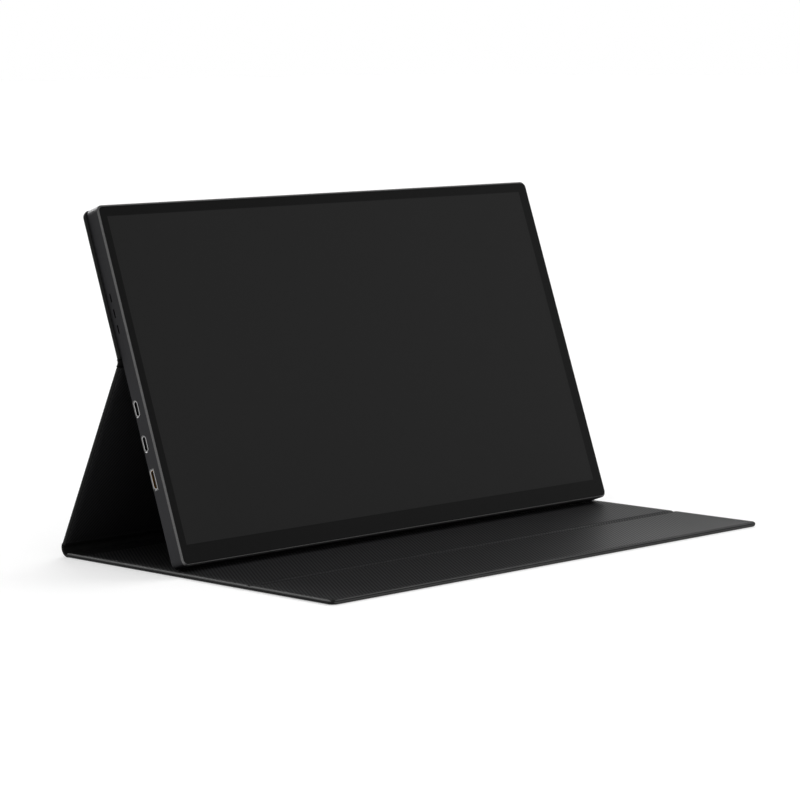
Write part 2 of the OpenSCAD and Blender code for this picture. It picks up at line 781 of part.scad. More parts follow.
module menu_rocker() {
    color(housing_colour) in_monitor() difference() {
        union() {
            from_side(flange_x - flange_t, rocker_v, port_z, right_x + button_proud - flange_x + flange_t)
                slot_2d(rocker_l, button_h);
            for (s = [-1, 1])
                translate([stem_x, rocker_v + s * rocker_foot, port_z]) rotate([0, 90, 0])
                    cylinder(h = stem_t, r = plunger_r);
            block([rocker_lug_x, rocker_v - rocker_lug_w / 2, port_z - button_h / 2],
                [flange_x - flange_t, rocker_v + rocker_lug_w / 2, port_z + button_h / 2]);
        }
        translate([pin_x, rocker_v, back_wall]) cylinder(h = shell_h + 2 * eps, r = pin_r + pin_clear);
    }
}

module rocker_pin() {
    color(metal_colour) in_monitor() translate([pin_x, rocker_v, back_wall])
        cylinder(h = port_z + button_h / 2 + 0.6 - back_wall, r = pin_r);
}

// Magnets

module magnet_row(span, y, z, t) {
    for (s = [-1, -1 / 3, 1 / 3, 1])
        block([(s * span - magnet_l) / 2, y - magnet_w / 2, z],
            [(s * span + magnet_l) / 2, y + magnet_w / 2, z + t]);
}

magnet_to_speaker = 15;
magnet_span = mon_w - 2 * (speaker_w + magnet_l + magnet_to_speaker);
upper_magnet_y = upper_len - cover_top_over - magnet_inset;
kick_magnet_y = kick_len / 2;
flap_magnet_y = flap_len - magnet_inset;
seat_magnet_y = hinge_y - seat_y + mon_t * cos(lean) / 2;

module housing_magnets() {
    color(metal_colour) in_monitor() magnet_row(magnet_span, fold_v + upper_magnet_y, back_wall, magnet_t);
}

module upper_magnets() {
    color(metal_colour) in_upper() magnet_row(magnet_span, upper_magnet_y, skin_t, stiff_t);
}

module kick_magnets() {
    color(metal_colour) in_kick() magnet_row(magnet_span, kick_magnet_y, skin_t, stiff_t);
}

module base_magnets() {
    color(metal_colour) in_base() magnet_row(magnet_span, seat_magnet_y, skin_t, stiff_t);
}

module flap_magnets() {
    color(metal_colour) in_flap() magnet_row(magnet_span, flap_magnet_y, skin_t, stiff_t);
}

// The cover's panels: a skin turned over a board, with a lining laid inside its hem

// Flat outline of a panel. side is how far it stays inside the edges, more runs it past the bare ends.
module panel_2d(p, side, r, more) {
    x = cover_w / 2 - side;
    y0 = p[0] - more;
    y1 = p[2] ? p[1] - side : p[1] + more;
    end_r = p[2] ? r : 0;
    translate([-x, y0]) square([2 * x, y1 - end_r - y0]);
    if (end_r > 0) {
        translate([end_r - x, y1 - 2 * end_r]) square([2 * (x - end_r), 2 * end_r]);
        for (s = [-1, 1])
            translate([s * (x - end_r), y1 - end_r]) circle(end_r);
    }
}

module panel_skin(p) {
    color(skin_colour) difference() {
        linear_extrude(cover_t) panel_2d(p, 0, cover_corner_r, 0);
        translate([0, 0, skin_t]) linear_extrude(stiff_t) panel_2d(p, skin_t, cover_corner_r - skin_t, eps);
        translate([0, 0, skin_t + stiff_t]) linear_extrude(cover_t) panel_2d(p, hem_w, 1, eps);
    }
}

module panel_board(p, magnet_y) {
    color(stiff_colour) difference() {
        translate([0, 0, skin_t]) linear_extrude(stiff_t) panel_2d(p, skin_t, cover_corner_r - skin_t, 0);
        magnet_row(magnet_span, magnet_y, skin_t - eps, stiff_t + 2 * eps);
    }
}

module panel_lining(p) {
    color(lining_colour) translate([0, 0, skin_t + stiff_t]) linear_extrude(lining_t)
        panel_2d(p, hem_w, 1, 0);
}

module upper_skin() {
    in_upper() panel_skin(UPPER);
}

module upper_board() {
    in_upper() panel_board(UPPER, upper_magnet_y);
}

module upper_lining() {
    in_upper() panel_lining(UPPER);
}

module kick_skin() {
    in_kick() panel_skin(KICK);
}

module kick_board() {
    in_kick() panel_board(KICK, kick_magnet_y);
}

module kick_lining() {
    in_kick() panel_lining(KICK);
}

// Stretch of the panel under the monitor, from y0 to y1 along it
module base_stretch(y0, y1) {
    intersection() {
        children();
        block([-cover_w, y0, -eps], [cover_w, y1, cover_t + eps]);
    }
}

module base_skin() {
    in_base() color(skin_colour) difference() {
        linear_extrude(cover_t) panel_2d(BASE, 0, cover_corner_r, 0);
        base_stretch(-eps, spine_w - board_space / 2) board_cutter();
        base_stretch(spine_w + board_space / 2, base_len) board_cutter();
        base_stretch(spine_w, base_len)
            translate([0, 0, skin_t + stiff_t]) linear_extrude(cover_t) panel_2d(BASE, hem_w, 1, eps);
    }
}

module board_cutter() {
    translate([0, 0, skin_t]) linear_extrude(stiff_t) panel_2d(BASE, skin_t, cover_corner_r - skin_t, eps);
}

module base_board() {
    in_base() base_stretch(spine_w + board_space / 2, base_len) panel_board(BASE, seat_magnet_y);
}

module spine_board() {
    in_base() base_stretch(0, spine_w - board_space / 2) panel_board(BASE, seat_magnet_y);
}

module base_lining() {
    in_base() base_stretch(spine_w, base_len) panel_lining(BASE);
}

module flap_skin() {
    in_flap() panel_skin(FLAP);
}

module flap_board() {
    in_flap() panel_board(FLAP, flap_magnet_y);
}

module flap_lining() {
    in_flap() panel_lining(FLAP);
}

// The bare strips that fold

module rear_fold_strip() {
    color(skin_colour) translate([0, hinge_y, rear_fold_r]) rotate([0, 90, 0])
        rotate_extrude(angle = kick_angle)
            translate([rear_fold_r - rear_strip_t, -cover_w / 2]) square([rear_strip_t, cover_w]);
}

// A point of the panel behind the monitor, in the monitor's frame
function kick_point(y, z) = let (dy = y - kick_len, dz = z - flat_gap)
    [fold_v + dy * cos(fold_bend) - dz * sin(fold_bend),
        dy * sin(fold_bend) + dz * cos(fold_bend) - cover_t];

module back_fold_strip() {
    kick_end = kick_len - fold_gap;
    color(skin_colour) in_monitor() translate([-cover_w / 2, 0, 0]) rotate([90, 0, 90])
        linear_extrude(cover_w)
            polygon([kick_point(kick_end, 0), [fold_v, -cover_t], [fold_v + fold_gap, -cover_t],
                [fold_v + fold_gap, 0], kick_point(kick_end, cover_t)]);
}

module crease_strip() {
    half = crease_gap / 2;
    valley = [for (i = [0 : crease_steps]) let (t = i / crease_steps)
        [crease_gap * t - half, cover_t - crease_dip * (1 - cos(360 * t)) / 2]];
    color(skin_colour) in_flap() translate([-cover_w / 2, 0, 0]) rotate([90, 0, 90]) linear_extrude(cover_w)
        polygon(concat([[half, 0], [-half, 0]], valley));
}

rear_housing();
cover_glass();
glass_tape();
lcd_cell();
optical_films();
light_guide();
led_bar();
reflector_sheet();
panel_tray();
panel_source_board();
panel_flat_cable();
main_board();
board_chips();
shield_can();
board_screws();
usb_c_socket_upper();
usb_c_socket_lower();
usb_c_tongues();
mini_hdmi_socket();
mini_hdmi_tongue();
mini_hdmi_contacts();
speaker_left();
speaker_right();
headphone_jack();
button_board();
tact_switches();
control_flat_cable();
power_button();
menu_rocker();
rocker_pin();
housing_magnets();
upper_skin();
upper_board();
upper_lining();
upper_magnets();
kick_skin();
kick_board();
kick_lining();
kick_magnets();
base_skin();
base_board();
spine_board();
base_lining();
base_magnets();
flap_skin();
flap_board();
flap_lining();
flap_magnets();
rear_fold_strip();
back_fold_strip();
crease_strip();
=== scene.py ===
"""Portable monitor standing in its folding cover. Sizes are millimetres until a piece is finished."""

import math

import bmesh
import bpy
from mathutils import Matrix, Vector


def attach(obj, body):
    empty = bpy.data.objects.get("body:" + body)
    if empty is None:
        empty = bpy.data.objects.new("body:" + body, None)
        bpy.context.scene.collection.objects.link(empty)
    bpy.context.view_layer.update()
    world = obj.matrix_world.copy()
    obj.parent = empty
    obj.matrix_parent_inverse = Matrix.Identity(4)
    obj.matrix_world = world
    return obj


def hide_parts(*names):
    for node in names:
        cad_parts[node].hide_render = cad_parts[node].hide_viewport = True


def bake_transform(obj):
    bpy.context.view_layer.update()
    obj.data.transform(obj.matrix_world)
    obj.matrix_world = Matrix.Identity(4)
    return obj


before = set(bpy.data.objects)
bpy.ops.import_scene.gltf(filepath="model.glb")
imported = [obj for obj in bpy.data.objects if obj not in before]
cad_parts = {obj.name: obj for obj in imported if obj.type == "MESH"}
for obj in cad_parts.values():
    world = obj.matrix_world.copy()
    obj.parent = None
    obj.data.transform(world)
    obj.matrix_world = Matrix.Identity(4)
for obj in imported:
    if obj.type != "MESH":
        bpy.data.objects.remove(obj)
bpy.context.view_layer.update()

MM = 0.001
CLOSE = 1e-4

# The part's own sizes
MON_W, MON_H, MON_T = 358.6, 212.5, 10.4
BORDER_LEFT, BORDER_RIGHT, BORDER_TOP, BORDER_BOTTOM = 5.9, 8.5, 6.9, 12.0
RIM_CHAMFER = 0.8
PORT_Z = 2.5
PORTS_LOW, PORTS_HIGH, PORT_REACH = 40, 105, 3.2
SHELL_INSET = 0.35
LEAN = math.radians(19.5)
SEAT_Y, SEAT_Z = 16.9644, 2.95
COVER_W, COVER_T = 361.4, 2.7
CORNER_R = 4.5
SKIN_T, STIFF_T = 0.7, 1.5
KICK_LEN, KICK_SHORT, BASE_LEN, FLAP_LEN = 122.3, 0.2, 158.0, 67.0
FOLD_V = KICK_LEN + KICK_SHORT
TOP_OVER = 0.1
UPPER_LEN = MON_H - FOLD_V + TOP_OVER
HINGE_Y, REAR_R, REAR_T = 109.75, 5.5, 1.3
KICK_ANGLE, FOLD_BEND = math.radians(116.21), math.radians(45.7096)
FLAT_GAP = 0.3
FOLD_HALF = 2.15
SPINE_W = 13.0

# How the cover is finished at its edges and along its crease
TOP_R, UNDER_R = 1.2, 1.3
SKIN_WALL = 0.5
STRIP_R, REAR_FOLD_R = 0.5, 0.6
LIP = 1.3
GROOVE = 0.15
LINING_R = 0.3
HEM = ((4.8, 2.7), (5.5, 2.62), (6.2, 2.5))
LINING_LOW = SKIN_T + STIFF_T
FIELD_TOP = HEM[-1][1]
CREASE_HALF = 3.0
CREASE_DIP, CREASE_NARROWING = 0.55, 4

# How far the panels at the rear fold start from it, and how far the panels lap the ends of the back fold
REAR_EASE = 0.03
FOLD_LAP = 0.1

# The lining's swell at the monitor's foot, which stands a little ahead of the monitor's back
SWELL_HALF, SWELL_HIGH = 2.2, 0.7
FOOT_AHEAD = 0.95

# The cut edges and sockets of the housing, as depths where the finish changes
EDGE_SLACK = 0.02
RING_END = 0.50
MOUTH_DEPTH = SHELL_INSET + 0.03

# Where the skin's edges carry a painted highlight: how wide, from what height, and the seam that stays dark
# in the far edge
HIGHLIGHT_W = 0.8
SIDE_HIGHLIGHT_LOW, END_HIGHLIGHT_LOW = 1.75, 0.8
SEAM_Z, SEAM_HALF = 1.9, 0.22
END_HIGHLIGHT_SHARE = 0.6
# Shades of the painted highlight on the skin's edges, strong on base and flap, faint on kick and upper panel
PAINTED_HIGHLIGHT_PALE, PAINTED_HIGHLIGHT_FAINT = 0.110, 0.012

# Ribs of the lining's twill per millimetre, across and along a panel
TWILL = (0.415, -0.28)
# Painted light: the kick panel's lining is the same microfibre, coloured paler to lighten it in the shaded
# tent
KICK_PAINTED_LIFT = 1.6


def turn(angle, axis):
    return Matrix.Rotation(angle, 4, axis)


def move(x, y, z):
    return Matrix.Translation((x, y, z))


IN_MONITOR = move(0, SEAT_Y, SEAT_Z) @ turn(math.pi / 2 - LEAN, "X")
IN_UPPER = IN_MONITOR @ move(0, FOLD_V, -COVER_T)
IN_KICK = move(0, HINGE_Y, REAR_R) @ turn(KICK_ANGLE, "X") @ move(0, 0, -REAR_R)
IN_BASE = move(0, HINGE_Y, 0) @ turn(math.pi, "Z")
IN_FLAP = move(0, HINGE_Y - BASE_LEN, 0) @ turn(math.pi, "Z")


# Materials


class Wire:
    """A shader value that Python's operators work on."""

    def __init__(self, nodes, socket):
        self.nodes = nodes
        self.socket = socket

    def math(self, operation, *values):
        return self.nodes.node("ShaderNodeMath", {"operation": operation}, values)

    def __add__(self, other):
        return self.math("ADD", self, other)

    __radd__ = __add__

    def __sub__(self, other):
        return self.math("SUBTRACT", self, other)

    def __rsub__(self, other):
        return self.math("SUBTRACT", other, self)

    def __mul__(self, other):
        return self.math("MULTIPLY", self, other)

    __rmul__ = __mul__

    def __gt__(self, other):
        return self.math("GREATER_THAN", self, other)

    def __lt__(self, other):
        return self.math("LESS_THAN", self, other)

    def sin(self):
        return self.math("SINE", self)

    def abs(self):
        return self.math("ABSOLUTE", self)

    def larger(self, other):
        return self.math("MAXIMUM", self, other)


class Nodes:
    """The nodes of one material, or of the world."""

    def __init__(self, tree):
        self.tree = tree

    def feed(self, socket, value):
        if isinstance(value, Wire):
            self.tree.links.new(value.socket, socket)
        else:
            socket.default_value = value

    def node(self, kind, settings=None, values=(), output=0):
        made = self.tree.nodes.new(kind)
        for name, setting in (settings or {}).items():
            setattr(made, name, setting)
        for key, value in values.items() if isinstance(values, dict) else enumerate(values):
            self.feed(made.inputs[key], value)
        return Wire(self, made.outputs[output])

    def spread(self, value, low, high, start=0.0, stop=1.0):
        """value, from start to stop, spread between low and high."""
        return self.node("ShaderNodeMapRange", values={"Value": value, "From Min": start, "From Max": stop,
                                                       "To Min": low, "To Max": high})

    def ray(self, kind):
        """1 for a ray of that kind and 0 for any other."""
        return self.node("ShaderNodeLightPath", output=f"Is {kind} Ray")


class Finish(Nodes):
    """A material in the making."""

    def __init__(self, name, **sockets):
        self.material = bpy.data.materials.new(name)
        self.material.use_nodes = True
        super().__init__(self.material.node_tree)
        self.surface = self.tree.nodes["Principled BSDF"]
        self.paint(**sockets)

    def paint(self, **sockets):
        for socket, value in sockets.items():
            self.feed(self.surface.inputs[socket.replace("_", " ")], value)

    def point(self, place=None):
        """The point on the piece in metres, or in a panel's own millimetres where its place is given."""
        spot = self.node("ShaderNodeTexCoord", output="Object")
        if place is None:
            return spot
        where, turned, _ = place.decompose()
        return self.node("ShaderNodeMapping", {"vector_type": "TEXTURE"},
                         (spot, where * MM, turned.to_euler(), Vector((MM, MM, MM))))

    def parts(self, vector):
        split = self.node("ShaderNodeSeparateXYZ", values=(vector,)).socket.node
        return [Wire(self, output) for output in split.outputs]

    def noise(self, vector, scale, detail=2.0, roughness=0.5):
        return self.node("ShaderNodeTexNoise", values={"Vector": vector, "Scale": scale, "Detail": detail,
                                                       "Roughness": roughness})

    def grain(self, vector, scale):
        return self.node("ShaderNodeTexVoronoi", values={"Vector": vector, "Scale": scale})

    def blend(self, share, first, second):
        return self.node("ShaderNodeMix", {"data_type": "RGBA"}, {0: share, 6: first, 7: second}, output=2)

    def bump(self, height, distance):
        self.paint(Normal=self.node("ShaderNodeBump", values={"Height": height, "Distance": distance}))


def shade(level, cool=0.0):
    """Grey of a linear level, a little blue where it is cool."""
    return (level, level, level * (1 + cool), 1.0)


def anodised_housing():
    """Dark blasted metal, with its cut front edge and the rims of its sockets polished; its colour is painted
    light and shade, paler towards the bottom and darker towards the top.
    """
    finish = Finish("anodised_housing", Metallic=0.9, Specular_IOR_Level=0.3)
    local = finish.point(IN_MONITOR)
    x, v, z = finish.parts(local)
    cut_edge = z > MON_T - RIM_CHAMFER - EDGE_SLACK
    depth = x + MON_W / 2
    port_rings = ((depth > EDGE_SLACK) * (depth < RING_END) * (v > PORTS_LOW) * (v < PORTS_HIGH)
                  * ((z - PORT_Z).abs() < PORT_REACH))
    cloud = finish.noise(local, 0.05, 3)
    speckle = finish.noise(local, 6, 2)
    brushed = finish.noise(local, 1.3, 3)
    # Painted light and shade: the wall's colour runs paler at the bottom and darker at the top
    painted_shade_upwards = finish.spread(v, 0.2, 0.8, 0, MON_H)
    dark = finish.blend(painted_shade_upwards + (cloud - 0.5) * 0.4, shade(0.028, 0.08), shade(0.015, 0.08))
    polished = finish.blend(brushed, shade(0.08), shade(0.16))
    dressed = finish.blend(cut_edge, dark, polished)
    finish.paint(Base_Color=finish.blend(port_rings, dressed, shade(0.16)),
                 Roughness=finish.spread(speckle, 0.40, 0.55) - cut_edge.larger(port_rings) * 0.12)
    finish.bump(speckle, 0.00002)
    return finish.material


def socket_shell(name, low, high):
    """Folded sheet metal of a socket, bright on its mouth; inside, the colour runs from low to high, which is
    painted shade of the recess for the steel sockets and gold plating for the gilt one.
    """
    finish = Finish(name, Metallic=1.0)
    local = finish.point(IN_MONITOR)
    mouth = finish.parts(local)[0] < MOUTH_DEPTH - MON_W / 2
    uneven = finish.noise(local, 0.8, 3)
    # Behind the mouth the steel sockets are painted dark: painted shade of the recess
    finish.paint(Base_Color=finish.blend(mouth, finish.blend(uneven, low, high), shade(0.55)),
                 Roughness=finish.spread(uneven, 0.30, 0.42))
    finish.bump(uneven, 0.00002)
    return finish.material


def coated_glass():
    """Matt glass, a little paler over the picture than over the border."""
    finish = Finish("coated_glass", Specular_IOR_Level=0.075)
    local = finish.point(IN_MONITOR)
    x, v, _ = finish.parts(local)
    picture = ((x > BORDER_LEFT - MON_W / 2) * (x < MON_W / 2 - BORDER_RIGHT) * (v > BORDER_BOTTOM)
               * (v < MON_H - BORDER_TOP))
    haze = finish.noise(local, 0.02, 2)
    grey = finish.blend(haze, shade(0.0140), shade(0.0150))
    finish.paint(Base_Color=finish.blend(picture, shade(0.0030), grey),
                 Roughness=finish.spread(finish.noise(local, 0.4, 2), 0.30, 0.38))
    return finish.material


def grained_skin(name, place, painted_highlight_shade, far_end=None):
    """Black grained skin with a painted highlight along the upper rounding of the panel's sides and, where
    its far end is given, along that too.
    """
    finish = Finish(name, Specular_IOR_Level=0.10)
    local = finish.point(place)
    x, y, z = finish.parts(local)
    edge = (x.abs() > COVER_W / 2 - HIGHLIGHT_W) * (z > SIDE_HIGHLIGHT_LOW)
    if far_end:
        end = (y > far_end - HIGHLIGHT_W) * (z > END_HIGHLIGHT_LOW) * ((z - SEAM_Z).abs() > SEAM_HALF)
        edge = edge.larger(end * END_HIGHLIGHT_SHARE)
    wander = finish.noise(local, 0.08, 3)
    # Painted highlight: the edges' upper rounding is coloured paler where light would catch it
    painted_highlight = edge * finish.spread(wander, 0.6, 1.0)
    pebble = finish.grain(local, 1.4)
    black = finish.blend(wander, shade(0.006), shade(0.010))
    finish.paint(Base_Color=finish.blend(painted_highlight, black, shade(painted_highlight_shade)),
                 Roughness=finish.spread(pebble, 0.42, 0.60))
    finish.bump(pebble + finish.noise(local, 0.9) * 0.4, 0.00006)
    return finish.material


def twill_lining(name, place, painted_lift=1.0):
    """Microfibre with fine ribs running slantwise, made paler by painted light where its lift is above 1."""
    finish = Finish(name, Specular_IOR_Level=0.14, Coat_Roughness=0.42)
    local = finish.point(place)
    x, y, _ = finish.parts(local)
    rib = (x * (2 * math.pi * TWILL[0]) + y * (2 * math.pi * TWILL[1])).sin() * 0.5 + 0.5
    weave = rib * 0.8 + finish.noise(local, 3) * 0.2
    cloud = finish.noise(local, 0.03)
    finish.paint(Base_Color=finish.blend(cloud, shade(0.0082 * painted_lift, 0.06), shade(0.0094 * painted_lift, 0.06)),
                 Roughness=finish.spread(weave, 0.62, 0.60), Coat_Weight=finish.spread(weave, 0.0, 0.52))
    finish.bump(weave, 0.00003)
    return finish.material


def plain_finish(name, low, high, roughness, metallic=0.0, scale=400, depth=0.00003):
    """A moulded, plated or printed finish with a little unevenness."""
    finish = Finish(name, Metallic=metallic)
    uneven = finish.noise(finish.point(), scale, 3)
    finish.paint(Base_Color=finish.blend(uneven, low, high),
                 Roughness=finish.spread(uneven, roughness - 0.06, roughness + 0.06))
    finish.bump(uneven, depth)
    return finish.material


# Shapes


def slab(half_w, y0, y1, z0, z1):
    """Plain block to be worked into a panel, centred across."""
    bm = bmesh.new()
    bmesh.ops.create_cube(bm, size=1)
    bmesh.ops.scale(bm, vec=(2 * half_w, y1 - y0, z1 - z0), verts=bm.verts)
    bmesh.ops.translate(bm, vec=(0, (y0 + y1) / 2, (z0 + z1) / 2), verts=bm.verts)
    return bm


def near(a, b):
    return abs(a - b) < CLOSE


def lies_at(edge, axis, value):
    return all(near(v.co[axis], value) for v in edge.verts)


def upright(edge):
    return not near(edge.verts[0].co.z, edge.verts[1].co.z)


def lengthwise(edge):
    return near(edge.verts[0].co.x, edge.verts[1].co.x)


def round_edges(bm, edges, radius, segments):
    bmesh.ops.bevel(bm, geom=edges, offset=radius, offset_type="OFFSET", segments=segments, profile=0.5,
                    affect="EDGES", material=-1, clamp_overlap=True)


def cut_across(bm, axis, value):
    """Edges cut right through the mesh where an axis has a value."""
    spot, normal = Vector((0, 0, 0)), Vector((0, 0, 0))
    spot[axis], normal[axis] = value, 1
    bmesh.ops.bisect_plane(bm, geom=bm.verts[:] + bm.edges[:] + bm.faces[:], dist=1e-5, plane_co=spot,
                           plane_no=normal)


def finish_piece(name, bm, place, material, replaced, body=None):
    """The mesh as an object at the origin, in metres, riding on its body."""
    bmesh.ops.transform(bm, matrix=Matrix.Scale(MM, 4) @ place, verts=bm.verts)
    bmesh.ops.recalc_face_normals(bm, faces=bm.faces)
    mesh = bpy.data.meshes.new(name)
    bm.to_mesh(mesh)
    bm.free()
    piece = bpy.data.objects.new(name, mesh)
    bpy.context.scene.collection.objects.link(piece)
    mesh.materials.append(material)
    mesh.shade_smooth()
    mesh.set_sharp_from_angle(angle=math.radians(35))
    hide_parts(replaced)
    if body:
        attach(piece, body)
    return piece


def panel_cover(name, place, y0, y1, hemmed, open_from, open_to, material, replaced, body):
    """Skin turned over a panel's board, open where the lining lies."""
    half = COVER_W / 2
    bm = slab(half, y0, y1, 0, COVER_T)
    if hemmed:
        round_edges(bm, [e for e in bm.edges if lies_at(e, 1, y1) and upright(e)], CORNER_R, segments=8)
    for level, radius in ((COVER_T, TOP_R), (0, UNDER_R)):
        rims = [e for e in bm.edges if lies_at(e, 2, level)
                and not (lies_at(e, 1, y1) and not hemmed)
                and not lies_at(e, 1, y0)]
        round_edges(bm, rims, radius, segments=5)
    for y in (open_from, open_to):
        if y0 < y < y1:
            cut_across(bm, 1, y)
    open_top(bm, open_from, open_to)
    piece = finish_piece(name, bm, place, material, replaced, body)
    give_wall(piece)
    return piece


def open_top(bm, open_from, open_to):
    """The top opened inside the turned edges, from one place along the panel to another."""
    inner = COVER_W / 2 - LIP
    for x in (-inner, inner):
        cut_across(bm, 0, x)
    inside = [f for f in bm.faces
              if all(near(v.co.z, COVER_T) and abs(v.co.x) < inner + CLOSE
                     and open_from - CLOSE < v.co.y < open_to + CLOSE for v in f.verts)]
    bmesh.ops.delete(bm, geom=inside, context="FACES")


def give_wall(piece):
    """The opened skin's thickness, laid inwards."""
    wall = piece.modifiers.new("wall", "SOLIDIFY")
    wall.thickness = SKIN_WALL * MM
    wall.offset = -1


def panel_lining(name, place, y0, y1, hemmed, material, replaced, body, swell=None):
    """Lining laid in a panel, raised over the turned edge, with a soft swell where its place is given."""
    half = COVER_W / 2
    end = y1 - LIP - GROOVE if hemmed else y1
    bm = slab(half - LIP - GROOVE, y0, end, LINING_LOW, COVER_T)
    if hemmed:
        round_edges(bm, [e for e in bm.edges if lies_at(e, 1, end) and upright(e)], CORNER_R - LIP,
                    segments=6)
    rims = [e for e in bm.edges if lies_at(e, 2, COVER_T) and not lies_at(e, 1, y0)
            and not (lies_at(e, 1, y1) and not hemmed)]
    round_edges(bm, rims, LINING_R, segments=3)
    lower_field(bm, half, y1 if hemmed else None)
    if swell:
        steps = 8
        for i in range(steps + 1):
            cut_across(bm, 1, swell + SWELL_HALF * (2 * i / steps - 1))
        for v in bm.verts:
            off = (v.co.y - swell) / SWELL_HALF
            if near(v.co.z, FIELD_TOP) and abs(off) < 1:
                v.co.z += SWELL_HIGH * (1 + math.cos(math.pi * off)) / 2
    return finish_piece(name, bm, place, material, replaced, body)


def lower_field(bm, half, far_end):
    """The field inside the hem, sunk to the lining's own level."""
    for inset, _ in HEM:
        for x in (inset - half, half - inset):
            cut_across(bm, 0, x)
        if far_end:
            cut_across(bm, 1, far_end - inset)
    for v in bm.verts:
        if near(v.co.z, COVER_T):
            inset = half - abs(v.co.x)
            if far_end:
                inset = min(inset, far_end - v.co.y)
            for start, level in HEM:
                if inset > start - 1e-3:
                    v.co.z = level


def crease_strip(name, half_w, z0, rounds, material, slot_name):
    """Stretch of the cover across the crease, pressed down along its middle."""
    bm = slab(half_w, -CREASE_HALF, CREASE_HALF, z0, COVER_T)
    for level, radius in rounds:
        round_edges(bm, [e for e in bm.edges if lies_at(e, 2, level) and lengthwise(e)], radius, segments=5)
    if slot_name == "lining":
        lower_field(bm, COVER_W / 2, None)
    else:
        open_top(bm, -CREASE_HALF, CREASE_HALF)
    steps = 14
    for i in range(1, steps):
        cut_across(bm, 1, CREASE_HALF * (2 * i / steps - 1))
    for v in bm.verts:
        middle = math.cos(math.pi / 2 * v.co.y / CREASE_HALF) ** CREASE_NARROWING
        v.co.z -= v.co.z / COVER_T * CREASE_DIP * middle
    piece = finish_piece(name, bm, IN_FLAP, material, "crease_strip")
    if slot_name == "cover_skin":
        give_wall(piece)
    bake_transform(piece)
    return piece


def rear_fold(material):
    """The skin bent round the rear fold."""
    bm = bmesh.new()
    bmesh.ops.create_grid(bm, x_segments=1, y_segments=1, size=0.5)
    bmesh.ops.scale(bm, vec=(COVER_W, REAR_T, 1), verts=bm.verts)
    bmesh.ops.rotate(bm, matrix=Matrix.Rotation(math.pi / 2, 3, "X"), verts=bm.verts)
    bmesh.ops.translate(bm, vec=(0, 0, REAR_T / 2), verts=bm.verts)
    bmesh.ops.bevel(bm, geom=bm.verts[:], offset=REAR_FOLD_R, segments=4, profile=0.5, affect="VERTICES",
                    material=-1)
    bmesh.ops.spin(bm, geom=bm.verts[:] + bm.edges[:] + bm.faces[:], cent=(0, 0, REAR_R), axis=(1, 0, 0),
                   angle=KICK_ANGLE, steps=28)
    piece = finish_piece("rear_fold_skin", bm, move(0, HINGE_Y, 0), material, "rear_fold_strip")
    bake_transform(piece)
    return piece


def back_fold(material):
    """The skin bent at the back fold, from the kick panel to the panel on the monitor's back."""
    bm = slab(COVER_W / 2, -FOLD_HALF, FOLD_HALF, 0, REAR_T)
    round_edges(bm, [e for e in bm.edges if lengthwise(e) and not upright(e)], STRIP_R, segments=3)
    steps = 10
    for i in range(1, steps):
        cut_across(bm, 1, FOLD_HALF * (2 * i / steps - 1))
    for v in bm.verts:
        t = (v.co.y + FOLD_HALF) / (2 * FOLD_HALF)
        behind = 1 - t * t * (3 - 2 * t)
        angle = FOLD_BEND * behind
        y, z = v.co.y, v.co.z - FLAT_GAP * behind
        v.co.y = y * math.cos(angle) - z * math.sin(angle)
        v.co.z = y * math.sin(angle) + z * math.cos(angle)
    piece = finish_piece("back_fold_skin", bm, IN_UPPER, material, "back_fold_strip")
    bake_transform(piece)
    return piece


# The camera, the lamps and the floor

LENS, SENSOR = 136.159, 36
CAMERA_AT = (-1.271329, -1.266032, 0.296108)
CAMERA_TURN, CAMERA_DIP, CAMERA_ROLL = -44.7891, 6.7023, -0.4811
DOME = 0.45
CEILING = 0.25
WALLS_END, CEILING_START = 0.40, 0.62
SUNS = [("from_right", (0.75, 0.15, 0.9), 50, 1.3), ("from_front", (-0.4, -0.7, 1.2), 70, 0.9)]
SUN_AWAY = 2
SOFTBOXES = [("rim_light", (-0.1, 2.4, 1.9), 1.5, 110)]
FLOOR_HALF, FLOOR_BELOW = 20, 0.0002
FLOOR_SHADE = 0.6
FLOOR_LIFT = 0.45


def set_camera():
    camera = bpy.data.objects.new("camera", bpy.data.cameras.new("camera"))
    bpy.context.scene.collection.objects.link(camera)
    camera.data.sensor_width = SENSOR
    camera.data.lens = LENS
    camera.data.clip_start, camera.data.clip_end = 0.05, 50
    camera.matrix_world = (move(*CAMERA_AT) @ turn(math.radians(CAMERA_TURN), "Z")
                           @ turn(math.radians(90 - CAMERA_DIP), "X") @ turn(math.radians(CAMERA_ROLL), "Z"))
    bpy.context.scene.camera = camera


def set_world():
    """White to the camera, white walls and a grey ceiling in mirrors, and an even dome for the light."""
    world = bpy.data.worlds.new("studio")
    bpy.context.scene.world = world
    world.use_nodes = True
    nodes = Nodes(world.node_tree)
    direction = nodes.node("ShaderNodeTexCoord", output="Generated")
    height = nodes.node("ShaderNodeSeparateXYZ", values=(direction,), output="Z")
    walls = nodes.spread(height, 1.0, CEILING, WALLS_END, CEILING_START)
    shown = nodes.ray("Camera").larger(nodes.ray("Glossy").larger(nodes.ray("Transmission")) * walls)
    background = world.node_tree.nodes["Background"]
    nodes.feed(background.inputs["Color"], (1, 1, 1, 1))
    nodes.feed(background.inputs["Strength"], shown.larger(DOME))


def hang_lamp(name, kind, spot, level):
    """A lamp at a spot, facing the object."""
    lamp = bpy.data.objects.new(name, bpy.data.lights.new(name, kind))
    lamp.data.energy = level
    lamp.location = spot
    lamp.rotation_euler = Vector(spot).to_track_quat("Z", "Y").to_euler()
    bpy.context.scene.collection.objects.link(lamp)
    return lamp


